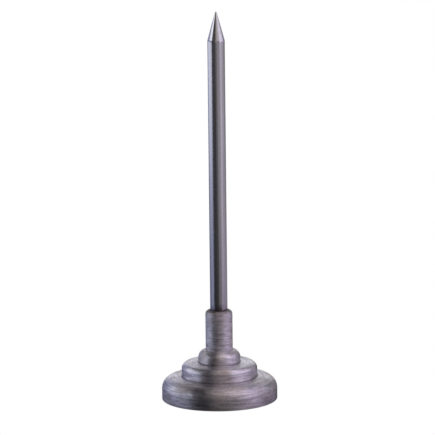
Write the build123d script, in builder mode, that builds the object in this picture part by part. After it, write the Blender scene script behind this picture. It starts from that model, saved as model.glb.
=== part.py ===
"""Bench pricking iron: a pointed steel spike standing in a collar on a stepped cast-iron foot.

The spike is a ground round bar. Its lower end is turned down twice: to a seat that fills the
collar, and below that to an M10 tail that passes through the foot. A nut on the tail, in a recess
under the foot, pulls the spike's shoulder down on the collar and the collar down on the foot.

Z runs up the spike, and z = 0 is the rim that rests on the bench. All sizes are in millimetres.
"""

import os

from build123d import *

os.makedirs("parts", exist_ok=True)

# Driving dimensions: the spike
overall_height = 273.0
spike_diameter = 12.0
point_length = 20.0
point_flat_radius = 0.5
point_rounding = 0.45
point_base_rounding = 6.0

# Driving dimensions: the stepped foot. A tier's wall goes up to its rim, and its top rises gently
# from there to the piece above. Each has a diameter, the rim's level and rounding, and a top level.
foot_diameter, foot_rim, foot_rounding, foot_top = 80.0, 15.2, 8.0, 16.4
middle_diameter, middle_rim, middle_rounding, middle_top = 52.4, 25.8, 4.3, 26.4
boss_diameter, boss_rim, boss_rounding, boss_top = 29.2, 33.8, 5.5, 35.2
foot_bottom_rounding = 0.8
root_rounding = 0.6

# Driving dimensions: the collar that holds the spike upright
collar_diameter = 18.8
collar_height = 28.0
collar_shoulder = 3.0
collar_lead_in = 0.2
spigot_diameter = 15.8
spigot_depth = 12.2
spigot_chamfer = 0.6
seat_diameter = 11.0
seat_clearance = 0.02
seat_end_gap = 0.3

# Driving dimensions: the M10 fastening under the foot
tail_diameter = 10.0
tail_chamfer = 0.8
tail_past_nut = 2.0
thread_clearance = 0.02
tail_hole_diameter = 10.5
web_thickness = 6.0
recess_diameter = 26.0
recess_chamfer = 0.8
relief_diameter = 64.0
relief_depth = 1.2
plain_washer_diameter, plain_washer_hole, plain_washer_thickness = 20.0, 10.5, 2.0
plain_washer_chamfer = 0.4
spring_washer_diameter, spring_washer_hole, spring_washer_thickness = 18.1, 10.2, 2.2
spring_washer_gap, spring_washer_slant, spring_washer_cut_height = 1.6, 30.0, 6.0
nut_across_flats = 16.0
nut_face_diameter = 15.36
nut_height = 8.4
nut_corner_drop = 0.75
nut_mouth_chamfer = 0.5

# How closely an edge has to match to be picked out by its size and place
pick_tolerance = 1e-3

# Levels worked out from those, going up
collar_top = boss_top + collar_height
socket_floor = boss_top - spigot_depth
web_bottom = socket_floor - web_thickness
plain_washer_bottom = web_bottom - plain_washer_thickness
spring_washer_bottom = plain_washer_bottom - spring_washer_thickness
nut_bottom = spring_washer_bottom - nut_height
tail_end = nut_bottom - tail_past_nut
point_base = overall_height - point_length
seat_bottom = socket_floor + seat_end_gap


def circle_edges(part, radius, height):
    """The round edges of that radius at that height."""
    return [
        edge
        for edge in part.edges().filter_by(GeomType.CIRCLE)
        if abs(edge.radius - radius) < pick_tolerance
        and abs(edge.center().Z - height) < pick_tolerance
    ]


def finish(builder, name):
    """Labels a piece, writes its STEP file and prints its size."""
    builder.part.label = name
    export_step(builder.part, f"parts/{name}.step")
    size = builder.part.bounding_box().size
    print(f"{name}: {size.X:.2f} x {size.Y:.2f} x {size.Z:.2f} mm, {builder.part.volume:.0f} mm3")


# The spike: a turned bar with a conical point, a seat for the collar and a tail for the nut
spike_radius, seat_radius, tail_radius = spike_diameter / 2, seat_diameter / 2, tail_diameter / 2
with BuildPart() as spike:
    with BuildSketch(Plane.XZ):
        with BuildLine():
            Polyline(
                (0, tail_end),
                (tail_radius, tail_end),
                (tail_radius, seat_bottom),
                (seat_radius, seat_bottom),
                (seat_radius, collar_top),
                (spike_radius, collar_top),
                (spike_radius, point_base),
                (point_flat_radius, overall_height),
                (0, overall_height),
                close=True,
            )
        make_face()
    revolve(axis=Axis.Z)
    chamfer(circle_edges(spike.part, tail_radius, tail_end), length=tail_chamfer)
    fillet(circle_edges(spike.part, spike_radius, point_base), radius=point_base_rounding)
    fillet(circle_edges(spike.part, point_flat_radius, overall_height), radius=point_rounding)
finish(spike, "spike")

# The collar: a turned sleeve with a rounded top, and a spigot that is pressed into the boss
collar_radius, spigot_radius = collar_diameter / 2, spigot_diameter / 2
with BuildPart() as collar:
    with BuildSketch(Plane.XY.offset(boss_top)):
        Circle(collar_radius)
    extrude(amount=collar_height)
    with BuildSketch(Plane.XY.offset(socket_floor)):
        Circle(spigot_radius)
    extrude(amount=spigot_depth)
    fillet(circle_edges(collar.part, collar_radius, collar_top), radius=collar_shoulder)
    chamfer(circle_edges(collar.part, spigot_radius, socket_floor), length=spigot_chamfer)
    bore_radius = seat_radius + seat_clearance
    with Locations(Plane.XY.offset(collar_top)):
        Hole(radius=bore_radius, depth=collar_top - socket_floor)
    chamfer(circle_edges(collar.part, bore_radius, collar_top), length=collar_lead_in)
finish(collar, "collar")

# The stepped foot: three tiers cast as one, with a socket above and a nut recess below
foot_radius, middle_radius, boss_radius = foot_diameter / 2, middle_diameter / 2, boss_diameter / 2
with BuildPart() as stepped_foot:
    with BuildSketch(Plane.XZ):
        with BuildLine():
            Polyline(
                (0, 0),
                (foot_radius, 0),
                (foot_radius, foot_rim),
                (middle_radius, foot_top),
                (middle_radius, middle_rim),
                (boss_radius, middle_top),
                (boss_radius, boss_rim),
                (collar_radius, boss_top),
                (0, boss_top),
                close=True,
            )
        make_face()
    revolve(axis=Axis.Z)
    for radius, level, rounding in (
        (foot_radius, foot_rim, foot_rounding),
        (middle_radius, middle_rim, middle_rounding),
        (boss_radius, boss_rim, boss_rounding),
        (middle_radius, foot_top, root_rounding),
        (boss_radius, middle_top, root_rounding),
        (foot_radius, 0, foot_bottom_rounding),
    ):
        fillet(circle_edges(stepped_foot.part, radius, level), radius=rounding)
    with BuildSketch(Plane.XY):
        Circle(relief_diameter / 2)
    extrude(amount=relief_depth, mode=Mode.SUBTRACT)
    with BuildSketch(Plane.XY):
        Circle(recess_diameter / 2)
    extrude(amount=web_bottom, mode=Mode.SUBTRACT)
    chamfer(circle_edges(stepped_foot.part, recess_diameter / 2, relief_depth), length=recess_chamfer)
    with Locations(Plane.XY.offset(socket_floor)):
        Hole(radius=tail_hole_diameter / 2, depth=web_thickness)
    with Locations(Plane.XY.offset(boss_top)):
        Hole(radius=spigot_radius, depth=spigot_depth)
finish(stepped_foot, "stepped_foot")

# The plain washer, against the web of the foot
with BuildPart() as plain_washer:
    with BuildSketch(Plane.XY.offset(plain_washer_bottom)):
        Circle(plain_washer_diameter / 2)
        Circle(plain_washer_hole / 2, mode=Mode.SUBTRACT)
    extrude(amount=plain_washer_thickness)
    chamfer(
        circle_edges(plain_washer.part, plain_washer_diameter / 2, plain_washer_bottom),
        length=plain_washer_chamfer,
    )
finish(plain_washer, "plain_washer")

# The spring washer: a split ring, drawn down flat, with its slanting gap on the +X side
with BuildPart() as spring_washer:
    with BuildSketch(Plane.XY.offset(spring_washer_bottom)):
        Circle(spring_washer_diameter / 2)
        Circle(spring_washer_hole / 2, mode=Mode.SUBTRACT)
    extrude(amount=spring_washer_thickness)
    gap_centre = (
        (spring_washer_diameter + spring_washer_hole) / 4,
        0,
        spring_washer_bottom + spring_washer_thickness / 2,
    )
    gap_reach = spring_washer_diameter - spring_washer_hole
    with Locations(Location(gap_centre, (spring_washer_slant, 0, 0))):
        Box(gap_reach, spring_washer_gap, spring_washer_cut_height, mode=Mode.SUBTRACT)
finish(spring_washer, "spring_washer")

# The nut: a hexagon whose corners are chamfered by one cone above and one below
nut_corner_radius = nut_across_flats / 3**0.5
nut_face_radius = nut_face_diameter / 2
with BuildPart() as tail_nut:
    with BuildSketch(Plane.XY.offset(nut_bottom)):
        RegularPolygon(radius=nut_corner_radius, side_count=6)
    extrude(amount=nut_height)
    with BuildSketch(Plane.XZ):
        with BuildLine():
            Polyline(
                (0, nut_bottom),
                (nut_face_radius, nut_bottom),
                (nut_corner_radius, nut_bottom + nut_corner_drop),
                (nut_corner_radius, spring_washer_bottom - nut_corner_drop),
                (nut_face_radius, spring_washer_bottom),
                (0, spring_washer_bottom),
                close=True,
            )
        make_face()
    revolve(axis=Axis.Z, mode=Mode.INTERSECT)
    nut_bore_radius = tail_radius + thread_clearance
    with Locations(Plane.XY.offset(spring_washer_bottom)):
        Hole(radius=nut_bore_radius, depth=nut_height)
    for face_level in (nut_bottom, spring_washer_bottom):
        mouth = circle_edges(tail_nut.part, nut_bore_radius, face_level)
        chamfer(mouth, length=nut_mouth_chamfer)
finish(tail_nut, "tail_nut")
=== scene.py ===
import math

import bpy
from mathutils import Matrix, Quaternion, Vector


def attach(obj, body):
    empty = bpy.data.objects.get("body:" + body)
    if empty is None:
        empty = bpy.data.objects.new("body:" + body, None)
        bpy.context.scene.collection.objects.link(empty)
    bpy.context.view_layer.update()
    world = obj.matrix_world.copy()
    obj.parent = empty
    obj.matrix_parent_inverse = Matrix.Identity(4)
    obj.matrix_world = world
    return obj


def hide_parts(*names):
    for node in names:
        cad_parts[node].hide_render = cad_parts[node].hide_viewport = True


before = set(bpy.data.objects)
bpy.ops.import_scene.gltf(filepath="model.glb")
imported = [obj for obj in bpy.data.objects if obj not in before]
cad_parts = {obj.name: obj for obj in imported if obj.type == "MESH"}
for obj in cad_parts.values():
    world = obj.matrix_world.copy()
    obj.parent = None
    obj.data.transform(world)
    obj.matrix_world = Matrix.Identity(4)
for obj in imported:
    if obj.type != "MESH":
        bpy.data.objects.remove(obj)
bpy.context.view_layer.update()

mm = 0.001
fullTurn = 2 * math.pi
print("frame loaded:", ", ".join(sorted(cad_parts)))

# camera: far away with a long lens, looking slightly down, rolled a touch

cameraLook = {
    "lens": 600,
    "distance": 5.01,
    "elevation": 12.0,
    "roll": 0.6,
    "aimRight": -0.00026,
    "aimHeight": 0.1284,
}


def makeCamera(look):
    tilt = math.radians(look["elevation"])
    back = Vector((0, -math.cos(tilt), math.sin(tilt)))
    data = bpy.data.cameras.new("benchCamera")
    data.lens = look["lens"]
    data.dof.use_dof = False
    camera = bpy.data.objects.new("benchCamera", data)
    bpy.context.scene.collection.objects.link(camera)
    camera.location = Vector((look["aimRight"], 0, look["aimHeight"])) + back * look["distance"]
    camera.rotation_mode = "QUATERNION"
    roll = Quaternion((0, 0, 1), math.radians(-look["roll"]))
    camera.rotation_quaternion = (-back).to_track_quat("-Z", "Y") @ roll
    bpy.context.scene.camera = camera


makeCamera(cameraLook)
bpy.context.scene.view_settings.view_transform = "Standard"

# upright soft panels round the bench: each has a direction in degrees from the camera's side,
# turning towards the right, a width, and bands of (lowest point, highest point, brightness, colour)

paleBlue, blue = (0.84, 0.87, 1.0), (0.56, 0.63, 1.0)
palePink, pink = (0.95, 0.9, 1.0), (0.86, 0.72, 1.0)
warm, white = (1.0, 0.8, 0.72), (0.97, 0.96, 1.0)
topPink = (1.0, 0.88, 0.86)
panelDistance = 1.2
panelLook = {
    "left": (-97, 1.7, (
        (-1.1, -0.13, 0.29, blue), (-0.13, -0.08, 0.48, blue), (-0.08, 0.12, 1.15, paleBlue),
        (0.12, 0.45, 0.5, blue), (0.45, 0.85, 1.6, white))),
    "leftBack": (-152, 0.8, ((-1.0, -0.1, 0.25, blue), (-0.1, 0.75, 0.36, blue))),
    "frontLeft": (-33, 0.84, ((-0.13, 1.4, 0.04, white),)),
    "front": (0, 0.5, (
        (-1.1, -0.125, 0.03, warm), (-0.125, 0.2, 0.16, white), (0.2, 1.4, 0.34, warm))),
    "frontRight": (28, 0.76, (
        (-1.1, -0.165, 0.06, warm), (-0.165, 0.2, 0.36, palePink), (0.2, 0.5, 0.2, warm),
        (0.5, 0.85, 0.6, white), (0.85, 1.5, 0.4, warm))),
    "right": (60, 0.64, (
        (-1.1, -0.45, 0.45, pink), (-0.45, -0.165, 0.3, pink), (-0.165, 0.2, 0.62, palePink),
        (0.2, 0.5, 1.4, pink), (0.5, 0.85, 1.0, white), (0.85, 1.5, 1.6, pink))),
    "rightFar": (92, 0.76, (
        (-1.1, -0.45, 0.5, pink), (-0.45, -0.165, 0.35, pink), (-0.165, 0.2, 0.45, palePink),
        (0.2, 0.5, 1.1, pink), (0.5, 0.85, 0.9, white), (0.85, 1.5, 1.2, pink))),
    "rightBack": (130, 0.87, ((-1.1, -0.17, 0.35, pink), (-0.17, 1.4, 0.3, palePink))),
    "back": (178, 0.9, ((0.05, 1.4, 0.8, white),)),
}

# level panels: one above for the fronts of the steps, and one below for the underside
levelPanelLook = {
    "topPanel": {
        "place": (0.4, -0.45, 1.25), "tilt": 0, "size": (1.1, 1.0), "brightness": 1.0, "colour": topPink},
    "underPanel": {
        "place": (0.2, -0.2, -1.2), "tilt": 180, "size": (1.6, 1.6), "brightness": 0.4, "colour": white},
}


def makePanel(name, width, height, brightness, colour, place, turn):
    data = bpy.data.lights.new(name, "AREA")
    data.shape = "RECTANGLE"
    data.size, data.size_y = width, height
    data.color = colour
    data.energy = brightness * math.pi * width * height
    panel = bpy.data.objects.new(name, data)
    bpy.context.scene.collection.objects.link(panel)
    panel.location = place
    panel.rotation_euler = turn
    panel.visible_camera = False


for panelName, (direction, width, bands) in panelLook.items():
    turn = math.radians(direction)
    across, along = panelDistance * math.sin(turn), -panelDistance * math.cos(turn)
    for number, (low, high, brightness, colour) in enumerate(bands):
        makePanel(
            f"{panelName}Panel{number}", width, high - low, brightness, colour,
            (across, along, (low + high) / 2), (math.radians(90), 0, turn))

for panelName, look in levelPanelLook.items():
    makePanel(
        panelName, *look["size"], look["brightness"], look["colour"],
        look["place"], (math.radians(look["tilt"]), 0, 0))


def addNode(tree, kind, options=(), inputs=()):
    # a node with its options set, and each input given a value or joined to another node's socket
    node = tree.nodes.new("ShaderNode" + kind)
    for key, value in dict(options).items():
        setattr(node, key, value)
    for key, value in dict(inputs).items():
        if isinstance(value, bpy.types.NodeSocket):
            tree.links.new(value, node.inputs[key])
        else:
            node.inputs[key].default_value = value
    return node


# the room: white behind the object, dim where it lights and reflects

roomLook = {"ambient": (0.025, 0.024, 0.026, 1), "white": (1, 1, 1, 1)}


def makeRoom(look):
    world = bpy.data.worlds.new("studioRoom")
    bpy.context.scene.world = world
    world.use_nodes = True
    tree = world.node_tree
    tree.nodes.clear()
    dim = addNode(tree, "Background", inputs={"Color": look["ambient"]})
    white = addNode(tree, "Background", inputs={"Color": look["white"]})
    rays = addNode(tree, "LightPath")
    mix = addNode(tree, "MixShader", inputs={
        0: rays.outputs["Is Camera Ray"], 1: dim.outputs[0], 2: white.outputs[0]})
    addNode(tree, "OutputWorld", inputs={"Surface": mix.outputs[0]})


makeRoom(roomLook)

# the floor: pale from above, clear from below so that the underside can be seen
# it lies a hair under the resting rim, so that the two faces don't share a plane

floorLook = {"size": 8.0, "level": -0.0001, "white": (1, 1, 1, 1)}


def makeFloor(look):
    bpy.ops.object.select_all(action="DESELECT")
    bpy.ops.mesh.primitive_plane_add(size=look["size"], location=(0, 0, look["level"]))
    floor = bpy.context.object
    floor.name = "floor"
    paint = bpy.data.materials.new("floorPaint")
    paint.use_nodes = True
    tree = paint.node_tree
    tree.nodes.clear()
    glow = addNode(tree, "Emission", inputs={"Color": look["white"]})
    clear = addNode(tree, "BsdfTransparent")
    side = addNode(tree, "NewGeometry")
    mix = addNode(tree, "MixShader", inputs={
        0: side.outputs["Backfacing"], 1: glow.outputs[0], 2: clear.outputs[0]})
    addNode(tree, "OutputMaterial", inputs={"Surface": mix.outputs[0]})
    floor.data.materials.append(paint)
    floor.visible_glossy = False
    floor.visible_diffuse = False
    floor.visible_shadow = False


makeFloor(floorLook)
print("camera, panels, room and floor placed")


# outlines are lists of (radius, height) in millimetres

fewestChords = 2  # in an arc
ridgeWaves = ((1.9, 0.5), (1.37, 0.3), (3.1, 0.35))  # (pitch, share of the depth), never in step
mergeReach = 1e-6  # metres


def arcPoints(centre, radius, start, end, spacing):
    count = max(fewestChords, round(abs(math.radians(end - start)) * radius / spacing))
    angles = [math.radians(start + (end - start) * i / count) for i in range(count + 1)]
    return [(centre[0] + radius * math.cos(a), centre[1] + radius * math.sin(a)) for a in angles]


def linePoints(start, end, spacing):
    count = max(1, round(math.dist(start, end) / spacing))
    return [tuple(Vector(start).lerp(Vector(end), i / count)) for i in range(count + 1)]


def roundedCorner(before, corner, after, radius, spacing):
    # the arc of that radius that is tangent to both runs of the corner
    arm = (Vector(before) - Vector(corner)).normalized()
    leg = (Vector(after) - Vector(corner)).normalized()
    half = arm.angle(leg) / 2
    centre = Vector(corner) + (arm + leg).normalized() * radius / math.sin(half)
    reach = radius / math.tan(half)
    first, last = Vector(corner) + arm * reach - centre, Vector(corner) + leg * reach - centre
    start = math.degrees(math.atan2(first.y, first.x))
    sweep = math.degrees(first.angle_signed(last))
    return arcPoints(centre, radius, start, start - sweep, spacing)


def roundedOutline(corners, spacing, straightSpacing=None):
    # corners are (radius, height, rounding), joined by straight runs
    places = [corner[:2] for corner in corners]
    points = []
    for i, (radius, height, rounding) in enumerate(corners):
        if rounding and 0 < i < len(corners) - 1:
            run = roundedCorner(places[i - 1], places[i], places[i + 1], rounding, spacing)
        else:
            run = [places[i]]
        if points:
            points += linePoints(points[-1], run[0], straightSpacing or spacing)[1:]
        points += run[1:] if points else run
    return points


def ridged(points, look):
    # uneven turning marks across the outline, which fade out at both ends and at the resting plane
    lengths = [0]
    for here, there in zip(points, points[1:]):
        lengths.append(lengths[-1] + math.dist(here, there))
    marked = []
    for i, (radius, height) in enumerate(points):
        before, after = points[max(i - 1, 0)], points[min(i + 1, len(points) - 1)]
        along = Vector((after[0] - before[0], after[1] - before[1])).normalized()
        swell = sum(size * math.sin(lengths[i] * fullTurn / pitch + pitch) for pitch, size in ridgeWaves)
        ends = min(lengths[i], lengths[-1] - lengths[i], height)
        fade = min(1, ends / look["ridgeFade"])
        push = swell * fade * look["ridgeDepth"]
        marked.append((radius + along.y * push, height - along.x * push))
    return marked


def makeActive(piece):
    bpy.ops.object.select_all(action="DESELECT")
    piece.select_set(True)
    bpy.context.view_layer.objects.active = piece


def spinOutline(name, outline, steps):
    # a plane is merged to one vertex, drawn out along the outline and spun round the upright axis
    # an outline that starts on the axis also ends there; any other is closed back to its start
    ends = [] if outline[0][0] == 0 else outline[:1]
    bpy.ops.object.select_all(action="DESELECT")
    bpy.ops.mesh.primitive_plane_add(size=mm, location=(outline[0][0] * mm, 0, outline[0][1] * mm))
    piece = bpy.context.object
    piece.name = piece.data.name = name
    bpy.ops.object.transform_apply(location=True, rotation=True, scale=True)
    bpy.ops.object.mode_set(mode="EDIT")
    bpy.ops.mesh.merge(type="CENTER")
    for here, there in zip(outline, outline[1:] + ends):
        step = ((there[0] - here[0]) * mm, 0, (there[1] - here[1]) * mm)
        bpy.ops.mesh.extrude_vertices_move(TRANSFORM_OT_translate={"value": step})
    bpy.ops.mesh.select_all(action="SELECT")
    bpy.ops.mesh.remove_doubles(threshold=mergeReach)
    bpy.ops.mesh.spin(steps=steps, angle=fullTurn, center=(0, 0, 0), axis=(0, 0, 1))
    bpy.ops.mesh.select_all(action="SELECT")
    bpy.ops.mesh.remove_doubles(threshold=mergeReach)
    bpy.ops.mesh.normals_make_consistent(inside=False)
    bpy.ops.object.mode_set(mode="OBJECT")
    return piece


def weighted(piece, name, weightAt):
    # a vertex group whose weights come from a function of the place in millimetres
    group = piece.vertex_groups.new(name=name)
    for vertex in piece.data.vertices:
        weight = weightAt(vertex.co / mm)
        if weight > 0:
            group.add([vertex.index], min(1, weight), "REPLACE")
    return group


def roughen(piece, keep, look):
    # shallow unevenness, longer round the piece than across it, on the vertices that keep() picks
    group = weighted(piece, "uneven", keep)
    bpy.ops.object.empty_add(location=(0, 0, 0))
    stretch = bpy.context.object
    stretch.scale = (1, 1, look["streakSquash"])
    bpy.context.view_layer.update()
    clouds = bpy.data.textures.new(piece.name + "Clouds", "CLOUDS")
    clouds.noise_scale = look["streakLength"] * mm
    clouds.noise_depth = look["streakDetail"]
    makeActive(piece)
    displace = piece.modifiers.new("uneven", "DISPLACE")
    displace.texture = clouds
    displace.texture_coords = "OBJECT"
    displace.texture_coords_object = stretch
    displace.vertex_group = group.name
    displace.strength = look["streakDepth"] * mm
    displace.mid_level = 0.5
    bpy.ops.object.modifier_apply(modifier=displace.name)
    bpy.data.objects.remove(stretch)


def cutWith(piece, cutter, operation):
    makeActive(piece)
    cut = piece.modifiers.new("cut", "BOOLEAN")
    cut.operation = operation
    cut.solver = "EXACT"
    cut.object = cutter
    bpy.ops.object.modifier_apply(modifier=cut.name)
    bpy.data.objects.remove(cutter)


def softenEdges(piece, width, sharpest):
    # small flats on every edge sharper than the angle, so that they catch the light
    makeActive(piece)
    bevel = piece.modifiers.new("soften", "BEVEL")
    bevel.width = width * mm
    bevel.segments = 2
    bevel.limit_method = "ANGLE"
    bevel.angle_limit = math.radians(sharpest)
    bevel.use_clamp_overlap = True
    bpy.ops.object.modifier_apply(modifier=bevel.name)


# the stepped foot

footLook = {
    "tiers": ((80.0, 15.2, 8.0, 16.4), (52.4, 25.8, 4.3, 26.4), (29.2, 33.8, 5.5, 35.2)),
    "collarDiameter": 18.8,
    "rootRounding": 0.6,
    "bottomRounding": 0.8,
    "socketRadius": 7.9,
    "socketFloor": 23.0,
    "tailHoleRadius": 5.25,
    "webBottom": 17.0,
    "recessRadius": 13.0,
    "recessChamfer": 0.8,
    "reliefRadius": 32.0,
    "reliefDepth": 1.2,
    "recessRounding": 0.8,
    "reliefRounding": 0.6,
    "edgeBreak": 0.25,
    "spacing": 0.27,
    "insideSpacing": 0.15,
    "insideStraight": 2.0,
    "steps": 228,  # not a multiple of 8: points in line at 45 degrees upset the pointiness that drives the worn edges and the painted corner shade
    "ridgeDepth": 0.04,
    "ridgeFade": 1.0,
    "streakLength": 9.0,
    "streakSquash": 0.16,
    "streakDepth": 0.22,
    "streakDetail": 3,
    "seatFade": 1.5,  # how far from the collar's seat the streaks reach their full depth
    "rimFade": 2.0,  # and how far above the bench
    "hollowMargin": 0.5,  # how far past the relief and the recess's roof the underside stays even
    "wallMargin": 1.0,  # and past the recess's wall
}


def makeFoot(look):
    middleOfRim = (look["reliefRadius"] + look["tiers"][0][0] / 2) / 2
    corners = [(middleOfRim, 0, 0)]
    edge = look["bottomRounding"]
    for i, (diameter, rim, rounding, top) in enumerate(look["tiers"]):
        last = i + 1 == len(look["tiers"])
        inner = look["collarDiameter"] if last else look["tiers"][i + 1][0]
        bottom = look["tiers"][i - 1][3] if i else 0
        corners += [(diameter / 2, bottom, edge), (diameter / 2, rim, rounding)]
        edge = look["rootRounding"]
    corners += [(inner / 2, top, 0), (look["socketRadius"], top, 0)]
    outside = ridged(roundedOutline(corners, look["spacing"]), look)
    cut, relief = look["recessChamfer"], look["reliefDepth"]
    inside = roundedOutline([
        (look["socketRadius"], look["socketFloor"], 0),
        (look["tailHoleRadius"], look["socketFloor"], 0),
        (look["tailHoleRadius"], look["webBottom"], look["edgeBreak"]),
        (look["recessRadius"], look["webBottom"], look["recessRounding"]),
        (look["recessRadius"], relief + cut, look["edgeBreak"]),
        (look["recessRadius"] + cut, relief, look["edgeBreak"]),
        (look["reliefRadius"], relief, look["reliefRounding"]),
        (look["reliefRadius"], 0, look["edgeBreak"]),
        (middleOfRim - look["spacing"], 0, 0),
    ], look["insideSpacing"], look["insideStraight"])
    foot = spinOutline("footCasting", outside + inside, look["steps"])

    def onTheOutside(place):
        # clear of the underside, of the resting rim and of the seat under the collar
        across, seat = math.hypot(place.x, place.y), look["collarDiameter"] / 2
        margin = look["hollowMargin"]
        inRecess = across < look["recessRadius"] + look["wallMargin"]
        hollow = look["webBottom"] if inRecess else look["reliefDepth"]
        if across < look["reliefRadius"] + margin and place.z < hollow + margin:
            return 0
        if across < seat or place.z < look["bottomRounding"] / 2:
            return 0
        return min((across - seat) / look["seatFade"], place.z / look["rimFade"])

    roughen(foot, onTheOutside, look)
    return foot


foot = makeFoot(footLook)
print("foot modelled")

# the collar

collarLook = {
    "radius": 9.4,
    "bottom": 35.2,
    "top": 63.2,
    "shoulder": 3.0,
    "spigotRadius": 7.9,
    "spigotBottom": 23.0,
    "spigotChamfer": 0.6,
    "boreRadius": 5.52,
    "leadIn": 0.2,
    "spacing": 0.25,
    "steps": 158,  # not a multiple of 8, as on the foot
    "ridgeDepth": 0.022,
    "ridgeFade": 0.8,
    "streakLength": 6.0,
    "streakSquash": 0.25,
    "streakDepth": 0.1,
    "streakDetail": 3,
    "streakFade": 1.0,  # how far from the spigot's line and the bottom the streaks are at full depth
}


def makeCollar(look):
    low, cut = look["spigotBottom"], look["spigotChamfer"]
    outside = ridged(roundedOutline([
        (look["radius"], look["bottom"], 0),
        (look["radius"], look["top"], look["shoulder"]),
        (look["boreRadius"] + look["leadIn"], look["top"], 0),
    ], look["spacing"]), look)
    inside = [
        (look["boreRadius"], look["top"] - look["leadIn"]),
        (look["boreRadius"], low),
        (look["spigotRadius"] - cut, low),
        (look["spigotRadius"], low + cut),
        (look["spigotRadius"], look["bottom"]),
    ]
    collar = spinOutline("collarSleeve", outside + inside, look["steps"])

    def onTheWall(place):
        # clear of the bore and of the spigot
        across = math.hypot(place.x, place.y)
        return min(across - look["spigotRadius"], place.z - look["bottom"]) / look["streakFade"]

    roughen(collar, onTheWall, look)
    return collar


collar = makeCollar(collarLook)
print("collar modelled")

# the spike, with a real thread on its tail

spikeLook = {
    "tailEnd": 2.4,
    "tailRadius": 5.0,
    "tailChamfer": 0.8,
    "seatBottom": 23.3,
    "seatRadius": 5.5,
    "shoulder": 63.2,
    "radius": 6.0,
    "shoulderRounding": 0.15,
    "pointBase": 253.0,
    "pointBaseRounding": 6.0,
    "top": 273.0,
    "topRadius": 0.5,
    "topRounding": 0.45,
    "tailSpacing": 0.13,
    "spacing": 0.3,
    "straightSpacing": 5.0,
    "steps": 128,
    "threadPitch": 1.5,
    "threadDepth": 0.9,
    "threadTop": 18.5,
    "crest": 0.125,  # flat widths at the thread's crest and root, as shares of its pitch
    "root": 0.25,
    "surfaceMargin": 0.01,  # lets in points a hair outside the tail
}


def makeSpike(look):
    cut = look["tailChamfer"]
    tail = roundedOutline([
        (0, look["tailEnd"], 0),
        (look["tailRadius"] - cut, look["tailEnd"], 0),
        (look["tailRadius"], look["tailEnd"] + cut, 0),
        (look["tailRadius"], look["seatBottom"], 0),
    ], look["tailSpacing"])
    bar = roundedOutline([
        (look["seatRadius"], look["seatBottom"], 0),
        (look["seatRadius"], look["shoulder"], 0),
        (look["radius"], look["shoulder"], look["shoulderRounding"]),
        (look["radius"], look["pointBase"], look["pointBaseRounding"]),
        (look["topRadius"], look["top"], look["topRounding"]),
        (0, look["top"], 0),
    ], look["spacing"], look["straightSpacing"])
    spike = spinOutline("spikeBar", tail + bar, look["steps"])

    def threadCut(place):
        # how deep the thread goes at a place, from 0 at its crest to 1 at its root
        across = math.hypot(place.x, place.y)
        full = look["tailRadius"] - look["threadDepth"]
        outermost = look["tailRadius"] + look["surfaceMargin"]
        if across < full or across > outermost or place.z > look["threadTop"]:
            return 0
        turn = place.z / look["threadPitch"] - math.atan2(place.y, place.x) / fullTurn
        slope = (1 - 2 * abs(turn % 1 - 0.5) - look["crest"]) / (1 - look["crest"] - look["root"])
        fade = min(1, (look["threadTop"] - place.z) / look["threadPitch"])
        return max(0, min(1, slope)) * fade * (across - full) / look["threadDepth"]

    group = weighted(spike, "thread", threadCut)
    makeActive(spike)
    thread = spike.modifiers.new("thread", "DISPLACE")
    thread.vertex_group = group.name
    thread.strength = -look["threadDepth"] * mm
    thread.mid_level = 0
    bpy.ops.object.modifier_apply(modifier=thread.name)
    return spike


spike = makeSpike(spikeLook)
print("spike modelled")

# the washers and the nut under the foot

plainWasherLook = {
    "inner": 5.25, "outer": 10.0, "low": 15.0, "high": 17.0, "chamfer": 0.4, "steps": 96}
springWasherLook = {
    "inner": 5.1,
    "outer": 9.05,
    "low": 12.8,
    "high": 15.0,
    "rounding": 0.2,
    "spacing": 0.15,
    "straightSpacing": 1.0,
    "steps": 96,
    "gap": 1.6,
    "slant": 30,
    "cutLength": 8,
    "cutHeight": 6,
}
nutLook = {
    "acrossFlats": 16.0,
    "low": 4.4,
    "high": 12.8,
    "boreRadius": 5.02,
    "mouthChamfer": 0.5,
    "faceRadius": 7.68,
    "cornerDrop": 0.75,
    "flatsTurn": 30,
    "pastCorners": 1.0,  # how far the trimming body's cones run on
    "softening": 0.12,
    "sharpest": 20,
    "steps": 96,
}


def makePlainWasher(look):
    cut = look["chamfer"]
    return spinOutline("plainWasher", [
        (look["inner"], look["low"]),
        (look["outer"] - cut, look["low"]),
        (look["outer"], look["low"] + cut),
        (look["outer"], look["high"]),
        (look["inner"], look["high"]),
    ], look["steps"])


def makeSpringWasher(look):
    soft, middle = look["rounding"], (look["inner"] + look["outer"]) / 2
    outline = roundedOutline([
        (middle, look["low"], 0),
        (look["outer"], look["low"], soft),
        (look["outer"], look["high"], soft),
        (look["inner"], look["high"], soft),
        (look["inner"], look["low"], soft),
        (middle - look["straightSpacing"], look["low"], 0),
    ], look["spacing"], look["straightSpacing"])
    washer = spinOutline("springWasher", outline, look["steps"])
    bpy.ops.object.select_all(action="DESELECT")
    place = (middle * mm, 0, (look["low"] + look["high"]) / 2 * mm)
    slant = (math.radians(look["slant"]), 0, 0)
    bpy.ops.mesh.primitive_cube_add(size=mm, location=place, rotation=slant)
    cutter = bpy.context.object
    cutter.scale = (look["cutLength"], look["gap"], look["cutHeight"])
    cutWith(washer, cutter, "DIFFERENCE")
    return washer


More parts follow.
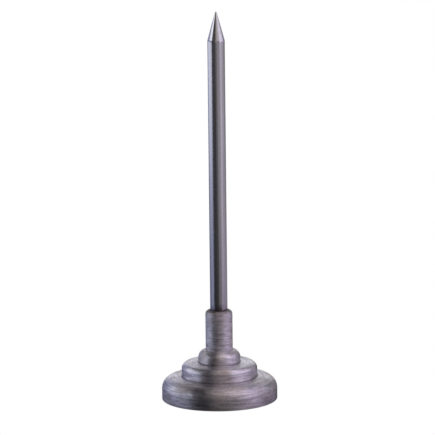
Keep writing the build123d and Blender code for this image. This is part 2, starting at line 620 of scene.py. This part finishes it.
def makeNut(look):
    # a hexagon, trimmed to a turned body whose two cones take off its corners
    corner = look["acrossFlats"] / math.sqrt(3)
    middle = (look["low"] + look["high"]) / 2 * mm
    bpy.ops.object.select_all(action="DESELECT")
    bpy.ops.mesh.primitive_cylinder_add(
        vertices=6, radius=corner * mm, depth=(look["high"] - look["low"]) * mm,
        location=(0, 0, middle))
    nut = bpy.context.object
    nut.name = nut.data.name = "tailNut"
    bpy.ops.object.mode_set(mode="EDIT")
    bpy.ops.mesh.select_all(action="SELECT")
    turn = math.radians(look["flatsTurn"])
    bpy.ops.transform.rotate(value=turn, orient_axis="Z", center_override=(0, 0, middle))
    bpy.ops.object.mode_set(mode="OBJECT")
    bpy.ops.object.transform_apply(location=True, rotation=True, scale=True)
    mouth, drop, past = look["mouthChamfer"], look["cornerDrop"], look["pastCorners"]
    furtherDrop = past * drop / (corner - look["faceRadius"])
    body = spinOutline("nutBody", [
        (look["boreRadius"] + mouth, look["low"]),
        (look["faceRadius"], look["low"]),
        (corner, look["low"] + drop),
        (corner + past, look["low"] + drop + furtherDrop),
        (corner + past, look["high"] - drop - furtherDrop),
        (corner, look["high"] - drop),
        (look["faceRadius"], look["high"]),
        (look["boreRadius"] + mouth, look["high"]),
        (look["boreRadius"], look["high"] - mouth),
        (look["boreRadius"], look["low"] + mouth),
    ], look["steps"])
    cutWith(nut, body, "INTERSECT")
    softenEdges(nut, look["softening"], look["sharpest"])
    return nut


plainWasher, springWasher = makePlainWasher(plainWasherLook), makeSpringWasher(springWasherLook)
nut = makeNut(nutLook)
print("washers and nut modelled")

# short ways to add the nodes that the effects and the materials share


def doMath(tree, operation, *values):
    return addNode(tree, "Math", {"operation": operation}, dict(enumerate(values))).outputs[0]


def noiseValue(tree, place, scale, detail, roughness=0.5):
    return addNode(tree, "TexNoise", inputs={
        "Vector": place, "Scale": scale, "Detail": detail, "Roughness": roughness}).outputs["Fac"]


def spreadValue(tree, value, span, low=0, high=1):
    # the span of values spread out to run from low to high
    return addNode(tree, "MapRange", inputs={
        "Value": value, "From Min": span[0], "From Max": span[1],
        "To Min": low, "To Max": high}).outputs[0]


def blendColour(tree, factor, first, second):
    mix = addNode(tree, "Mix", {"data_type": "RGBA"}, {0: factor})
    for index, colour in ((6, first), (7, second)):  # the Mix node's two colour sockets
        if isinstance(colour, bpy.types.NodeSocket):
            tree.links.new(colour, mix.inputs[index])
        else:
            mix.inputs[index].default_value = (*colour, 1)
    return mix.outputs[2]


def readPlace(tree):
    # the place on the piece, its height, its way out from the upright axis, and how far out it is
    place = addNode(tree, "TexCoord").outputs["Object"]
    parts = addNode(tree, "SeparateXYZ", inputs={0: place}).outputs
    outward = addNode(tree, "CombineXYZ", inputs={0: parts["X"], 1: parts["Y"]}).outputs[0]
    radius = addNode(tree, "VectorMath", {"operation": "LENGTH"}, {0: outward}).outputs["Value"]
    return place, parts["Z"], outward, radius


# shared effects, each a group of nodes that puts out values that change over the surface

marksLook = {
    "driftScale": 60,
    "driftDetail": 1,
    "streakDetail": 4,
    "streakRoughness": 0.6,
    "lineScale": 5,
    "lineDetail": 2,
}
grainLook = {"grainDetail": 3, "patchDetail": 4}
edgeAndCornerLook = {"level": 0.5, "slack": 0.005}  # the pointiness of a flat place, and how much counts as flat
# how ragged the rings of painted shade are
ringShadeLook = {"cloudScale": 420, "cloudDetail": 3, "raggedness": 0.9, "span": (0.6, 1.5)}


def newGroup(name, inputs, outputs):
    tree = bpy.data.node_groups.new(name, "ShaderNodeTree")
    for socketName, value in inputs.items():
        socket = tree.interface.new_socket(name=socketName, in_out="INPUT", socket_type="NodeSocketFloat")
        socket.default_value = value
    for socketName in outputs:
        tree.interface.new_socket(name=socketName, in_out="OUTPUT", socket_type="NodeSocketFloat")
    return tree, tree.nodes.new("NodeGroupInput").outputs, tree.nodes.new("NodeGroupOutput").inputs


def makeTurningMarks(look):
    # marks that run round the upright axis, on walls, slopes and flat tops alike
    tree, given, result = newGroup(
        "turningMarks", {"Around": 3, "Across": 600, "Wander": 0.4}, ("Lines", "Streaks"))
    place, height, outward, radius = readPlace(tree)
    unit = addNode(tree, "VectorMath", {"operation": "NORMALIZE"}, {0: outward}).outputs[0]
    spread = addNode(tree, "VectorMath", {"operation": "SCALE"}, {
        0: unit, "Scale": given["Around"]}).outputs[0]
    scaled = doMath(tree, "MULTIPLY", doMath(tree, "SUBTRACT", height, radius), given["Across"])
    drift = noiseValue(tree, place, look["driftScale"], look["driftDetail"])
    level = doMath(tree, "ADD", scaled, doMath(tree, "MULTIPLY", drift, given["Wander"]))
    lift = addNode(tree, "CombineXYZ", inputs={2: level}).outputs[0]
    route = addNode(tree, "VectorMath", {"operation": "ADD"}, {0: spread, 1: lift}).outputs[0]
    streaks = noiseValue(tree, route, 1, look["streakDetail"], look["streakRoughness"])
    lines = noiseValue(tree, route, look["lineScale"], look["lineDetail"])
    tree.links.new(lines, result["Lines"])
    tree.links.new(streaks, result["Streaks"])
    return tree


def makeCastGrain(look):
    # a fine grain, and larger patches of lighter and darker metal
    tree, given, result = newGroup("castGrain", {"Grain": 1500, "Patch": 90}, ("Grain", "Patches"))
    place = addNode(tree, "TexCoord").outputs["Object"]
    tree.links.new(noiseValue(tree, place, given["Grain"], look["grainDetail"]), result["Grain"])
    tree.links.new(noiseValue(tree, place, given["Patch"], look["patchDetail"]), result["Patches"])
    return tree


def makeEdgeWearAndCornerShade(look):
    # bright where an edge stands out, from wear; painted shade where a corner goes in, darkening it as
    # the shade there would
    tree, given, result = newGroup("edgeWearAndCornerShade", {"Reach": 0.06}, ("Edges", "PaintedCornerShade"))
    point = addNode(tree, "NewGeometry").outputs["Pointiness"]
    level, slack = look["level"], look["slack"]
    far = doMath(tree, "ADD", level, given["Reach"])
    near = doMath(tree, "SUBTRACT", level, given["Reach"])
    tree.links.new(spreadValue(tree, point, (level + slack, far)), result["Edges"])
    tree.links.new(spreadValue(tree, point, (level - slack, near)), result["PaintedCornerShade"])
    return tree


def makeRingPaintedShade(look):
    # painted shade round a circle about the upright axis, where one piece or step meets the next: a
    # ragged darkening that stands in for the shade falling there
    tree, given, result = newGroup("ringPaintedShade", {"Radius": 0, "Level": 0, "Reach": 0.001}, ("PaintedShade",))
    place, height, outward, radius = readPlace(tree)
    out = doMath(tree, "SUBTRACT", radius, given["Radius"])
    up = doMath(tree, "SUBTRACT", height, given["Level"])
    gap = addNode(tree, "CombineXYZ", inputs={0: out, 1: up}).outputs[0]
    far = addNode(tree, "VectorMath", {"operation": "LENGTH"}, {0: gap}).outputs["Value"]
    depth = doMath(tree, "DIVIDE", far, given["Reach"])
    clouds = noiseValue(tree, place, look["cloudScale"], look["cloudDetail"])
    ragged = doMath(tree, "MULTIPLY_ADD", clouds, look["raggedness"], depth)
    tree.links.new(spreadValue(tree, ragged, look["span"], 1, 0), result["PaintedShade"])
    return tree


turningMarks, castGrain = makeTurningMarks(marksLook), makeCastGrain(grainLook)
edgeWearAndCornerShade, ringPaintedShade = makeEdgeWearAndCornerShade(edgeAndCornerLook), makeRingPaintedShade(ringShadeLook)


def useGroup(tree, group, inputs=()):
    node = tree.nodes.new("ShaderNodeGroup")
    node.node_tree = group
    for key, value in dict(inputs).items():
        node.inputs[key].default_value = value
    return node.outputs


def addPaintedShade(tree, base, look):
    # each ring of painted shade is (radius, level, reach, strength), in millimetres
    for radius, level, reach, strength in look["paintedShadeRings"]:
        ring = useGroup(tree, ringPaintedShade, {
            "Radius": radius * mm, "Level": level * mm, "Reach": reach * mm})
        shadeAmount = spreadValue(tree, ring["PaintedShade"], (0, 1), 0, strength)
        base = blendColour(tree, shadeAmount, base, look["paintedShadeColour"])
    return base


def addBump(tree, shader, height, depth):
    bump = addNode(tree, "Bump", inputs={"Strength": 1, "Distance": depth * mm, "Height": height})
    tree.links.new(bump.outputs[0], shader.inputs["Normal"])


def newMetal(name):
    material = bpy.data.materials.new(name)
    material.use_nodes = True
    shader = material.node_tree.nodes["Principled BSDF"]
    shader.inputs["Metallic"].default_value = 1
    return material, material.node_tree, shader


# turned metal, for the foot and the collar; "around" and "across" are how often the marks change

ironLook = {
    "dark": (0.42, 0.4, 0.44),
    "light": (0.86, 0.84, 0.9),
    "shadeSpan": (0.56, 0.9),
    "bright": (0.95, 0.93, 0.95),
    "speckSpan": (0.6, 0.7),
    "specked": 0.9,
    "tarnish": (0.46, 0.37, 0.31),
    "tarnishSpan": (0.48, 0.66),
    "tarnished": 0.4,
    # painted shade colour, for the inner corners and the rings below
    "paintedShadeColour": (0.13, 0.11, 0.11),
    # rings of painted shade: where the steps meet each other and the collar, and a wide one darkening the
    # foot towards the bench
    "paintedShadeRings": (
        (26.2, 16.4, 1.1, 0.45), (14.6, 26.4, 1.1, 0.45), (9.4, 35.2, 0.8, 0.6), (40.0, 0.0, 13.0, 0.45)),
    "around": 2.7,
    "across": 620,
    "wander": 0.25,
    "fineAround": 0.8,
    "fineAcross": 2600,
    "fineShare": 0.45,
    "grain": 1300,
    "patch": 60,
    "roughSpan": (0.35, 0.65),
    "smoothest": 0.32,
    "roughest": 0.52,
    "anisotropic": 0.7,
    "anisotropicTurn": 0.25,
    "streakDepth": 1.4,
    "fineDepth": 0.5,
    "grainDepth": 0.25,
    "bumpDepth": 0.1,
}
# the collar's ring of painted shade darkens its top and rounded shoulder, standing in for the dark
# reflection there
collarSteelLook = dict(
    ironLook, around=1.6, across=760, smoothest=0.5, roughest=0.66, anisotropic=0.45,
    bumpDepth=0.06, tarnished=0.3, paintedShadeRings=((6.0, 63.2, 4.6, 0.88),))


def turnedMetal(name, look):
    material, tree, shader = newMetal(name)
    marks = useGroup(tree, turningMarks, {
        "Around": look["around"], "Across": look["across"], "Wander": look["wander"]})
    fine = useGroup(tree, turningMarks, {
        "Around": look["fineAround"], "Across": look["fineAcross"], "Wander": look["wander"]})
    grain = useGroup(tree, castGrain, {"Grain": look["grain"], "Patch": look["patch"]})
    wearAndShade = useGroup(tree, edgeWearAndCornerShade)
    both = doMath(tree, "MULTIPLY_ADD", fine["Streaks"], look["fineShare"], marks["Streaks"])
    base = blendColour(tree, spreadValue(tree, both, look["shadeSpan"]), look["dark"], look["light"])
    stain = spreadValue(tree, grain["Patches"], look["tarnishSpan"], 0, look["tarnished"])
    base = blendColour(tree, stain, base, look["tarnish"])
    specks = spreadValue(tree, marks["Lines"], look["speckSpan"], 0, look["specked"])
    base = blendColour(tree, specks, base, look["bright"])
    base = blendColour(tree, wearAndShade["Edges"], base, look["bright"])
    # painted shade in the inner corners
    base = blendColour(tree, wearAndShade["PaintedCornerShade"], base, look["paintedShadeColour"])
    # the rings of painted shade darken the colour last
    tree.links.new(addPaintedShade(tree, base, look), shader.inputs["Base Color"])
    rough = spreadValue(tree, grain["Patches"], look["roughSpan"], look["smoothest"], look["roughest"])
    tree.links.new(rough, shader.inputs["Roughness"])
    shader.inputs["Anisotropic"].default_value = look["anisotropic"]
    shader.inputs["Anisotropic Rotation"].default_value = look["anisotropicTurn"]
    tangent = addNode(tree, "Tangent", {"direction_type": "RADIAL", "axis": "Z"})
    tree.links.new(tangent.outputs[0], shader.inputs["Tangent"])
    height = doMath(tree, "MULTIPLY_ADD", marks["Streaks"], look["streakDepth"], marks["Lines"])
    height = doMath(tree, "MULTIPLY_ADD", fine["Streaks"], look["fineDepth"], height)
    height = doMath(tree, "MULTIPLY_ADD", grain["Grain"], look["grainDepth"], height)
    addBump(tree, shader, height, look["bumpDepth"])
    return material


# ground steel, for the bar: drawing lines along it, much longer than they are wide

barLook = {
    "dark": (0.56, 0.55, 0.58),
    "light": (0.66, 0.65, 0.68),
    "shadeSpan": (0.35, 0.65),
    # the ring of painted shade darkens the bar where it goes into the collar
    "paintedShadeColour": (0.13, 0.11, 0.11),
    "paintedShadeRings": ((6.0, 63.2, 3.0, 0.6),),
    "roughSpan": (0.3, 0.7),
    "smoothest": 0.18,
    "roughest": 0.26,
    "drawLength": 12,
    "drawWidth": 900,
    "drawDetail": 3,
    "bumpDepth": 0.004,
}


def groundSteel(name, look):
    material, tree, shader = newMetal(name)
    place = addNode(tree, "TexCoord").outputs["Object"]
    size = (look["drawWidth"], look["drawWidth"], look["drawLength"])
    stretched = addNode(tree, "Mapping", inputs={"Vector": place, "Scale": size}).outputs[0]
    lines = noiseValue(tree, stretched, 1, look["drawDetail"])
    base = blendColour(tree, spreadValue(tree, lines, look["shadeSpan"]), look["dark"], look["light"])
    # painted shade where the bar goes into the collar
    tree.links.new(addPaintedShade(tree, base, look), shader.inputs["Base Color"])
    rough = spreadValue(tree, lines, look["roughSpan"], look["smoothest"], look["roughest"])
    tree.links.new(rough, shader.inputs["Roughness"])
    addBump(tree, shader, lines, look["bumpDepth"])
    return material


# plated metal, for the nut and the washers: a thin cloudy finish, rubbed bright on the edges, with
# painted shade in the corners

zincLook = {
    "base": (0.66, 0.68, 0.7),
    "patch": (0.5, 0.52, 0.53),
    "patchSpan": (0.4, 0.62),
    "bright": (0.86, 0.87, 0.88),
    # painted shade colour for the corners
    "paintedShadeColour": (0.12, 0.11, 0.1),
    "grain": 2200,
    "patchSize": 260,
    "roughSpan": (0.35, 0.65),
    "smoothest": 0.28,
    "roughest": 0.46,
    "bumpDepth": 0.02,
}
oxideLook = dict(
    zincLook, base=(0.12, 0.12, 0.13), patch=(0.2, 0.19, 0.19), bright=(0.6, 0.6, 0.62),
    smoothest=0.34, roughest=0.5)


def platedMetal(name, look):
    material, tree, shader = newMetal(name)
    grain = useGroup(tree, castGrain, {"Grain": look["grain"], "Patch": look["patchSize"]})
    wearAndShade = useGroup(tree, edgeWearAndCornerShade)
    clouds = spreadValue(tree, grain["Patches"], look["patchSpan"])
    base = blendColour(tree, clouds, look["base"], look["patch"])
    base = blendColour(tree, wearAndShade["Edges"], base, look["bright"])
    # painted shade in the inner corners
    base = blendColour(tree, wearAndShade["PaintedCornerShade"], base, look["paintedShadeColour"])
    tree.links.new(base, shader.inputs["Base Color"])
    rough = spreadValue(tree, grain["Patches"], look["roughSpan"], look["smoothest"], look["roughest"])
    tree.links.new(rough, shader.inputs["Roughness"])
    addBump(tree, shader, grain["Grain"], look["bumpDepth"])
    return material


turnedIron = turnedMetal("turnedIron", ironLook)
turnedSteel = turnedMetal("turnedSteel", collarSteelLook)
barSteel = groundSteel("barSteel", barLook)
zincPlate, blackOxide = platedMetal("zincPlate", zincLook), platedMetal("blackOxide", oxideLook)


smoothAngle = 35


def finishPiece(piece, material, node):
    makeActive(piece)
    bpy.ops.object.shade_smooth_by_angle(angle=math.radians(smoothAngle))
    piece.data.materials.clear()
    piece.data.materials.append(material)
    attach(piece, "root")
    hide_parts(node)


finishPiece(foot, turnedIron, "stepped_foot")
finishPiece(collar, turnedSteel, "collar")
finishPiece(spike, barSteel, "spike")
finishPiece(plainWasher, zincPlate, "plain_washer")
finishPiece(springWasher, blackOxide, "spring_washer")
finishPiece(nut, zincPlate, "tail_nut")
print("materials and pieces ready")
